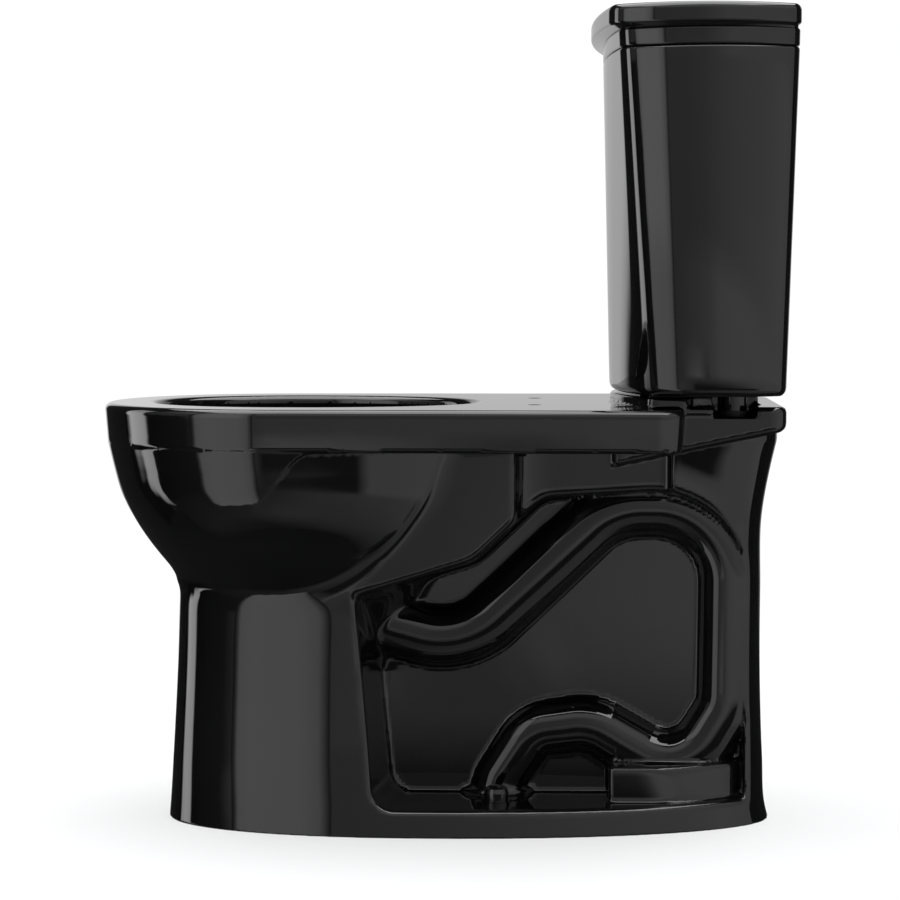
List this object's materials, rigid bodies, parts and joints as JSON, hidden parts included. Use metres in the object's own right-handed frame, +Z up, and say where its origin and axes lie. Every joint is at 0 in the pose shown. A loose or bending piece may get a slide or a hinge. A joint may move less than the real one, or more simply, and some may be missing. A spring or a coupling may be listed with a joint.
{
  "type": "close coupled toilet",
  "caption": "Two-piece close coupled toilet with a round front bowl, exposed S trapway, tank, lift-off lid, side trip lever, flapper flush valve and float cup fill valve.",
  "frame": {"origin": "centre of the waste outlet, in the plane of the floor", "axes": "+Z up, -Y to the front of the bowl, +Y to the wall behind the tank, -X to the side with the trip lever"},
  "size_m": [0.441, 0.6634, 0.779],
  "materials": {
    "black_glaze": "glossy black glaze",
    "black_cap": "glossy",
    "black_rubber": "matte",
    "red_rubber": "matte",
    "brass": "machined",
    "steel": "bright",
    "lever_chrome": "polished",
    "white_plastic": "satin",
    "black_plastic": "satin",
    "grey_plastic": "satin",
    "clear_tube": "flexible, glossy"
  },
  "bodies": {
    "fixed": {"bowl": "black_glaze", "bolt_cap": "black_cap", "bolt_cap_base": "black_cap", "tank": "black_glaze", "tank_bolt": "brass", "tank_bolt_rubber_washer": "black_rubber", "tank_bolt_cushion": "black_rubber", "tank_bolt_metal_washer": "brass", "tank_bolt_nut": "brass", "tank_to_bowl_gasket": "black_rubber", "tank_rest_pad": "black_rubber", "flush_valve_body": "white_plastic", "flush_valve_washer": "black_rubber", "flush_valve_nut": "black_plastic", "trip_lever_bushing": "lever_chrome", "trip_lever_washer": "black_rubber", "trip_lever_nut": "brass", "fill_valve_shank": "grey_plastic", "fill_valve_washer": "black_rubber", "fill_valve_lock_nut": "black_plastic", "fill_valve_riser": "grey_plastic", "fill_valve_lock_ring": "white_plastic", "fill_valve_head": "black_plastic", "fill_valve_cap": "black_plastic", "refill_tube": "clear_tube", "refill_clip": "black_plastic"},
    "lid": {"tank_lid": "black_glaze"},
    "trip_lever": {"trip_lever_handle": "lever_chrome", "trip_lever_arm": "brass", "trip_lever_set_screw": "steel"},
    "flapper": {"flapper_frame": "white_plastic", "flapper_seal": "red_rubber"},
    "chain": {"lift_chain": "steel", "chain_hook": "steel"},
    "float": {"fill_valve_float": "black_plastic", "fill_valve_float_rod": "steel"},
    "float_lever": {"fill_valve_float_lever": "black_plastic"}
  },
  "joints": [
    {"name": "lid_lift", "type": "slide", "parent": "fixed", "child": "lid", "axis": [0, 0, 1], "range_m": [0, 0.12]},
    {"name": "lever_turn", "type": "hinge", "parent": "fixed", "child": "trip_lever", "pos_m": [-0.2, 0.172, 0.7], "axis": [1, 0, 0], "range_deg": [0, 30]},
    {"name": "flapper_lift", "type": "hinge", "parent": "fixed", "child": "flapper", "pos_m": [0, 0.155, 0.468], "axis": [1, 0, 0], "range_deg": [0, 25]},
    {"name": "chain_lift", "type": "slide", "parent": "fixed", "child": "chain", "axis": [0, -0.2615, 0.9652], "range_m": [0, 0.03118]},
    {"name": "float_rise", "type": "slide", "parent": "fixed", "child": "float", "axis": [0, 0, 1], "range_m": [0, 0.012]},
    {"name": "float_lever_turn", "type": "hinge", "parent": "fixed", "child": "float_lever", "pos_m": [-0.14, 0.1845, 0.6775], "axis": [1, 0, 0], "range_deg": [0, 15]}
  ],
  "couplings": [
    {"joint": "flapper_lift", "follows": "lever_turn", "ratio": 0.77},
    {"joint": "chain_lift", "follows": "lever_turn", "m_per_rad": 0.059163},
    {"joint": "float_lever_turn", "follows": "float_rise", "rad_per_m": 20.8}
  ]
}
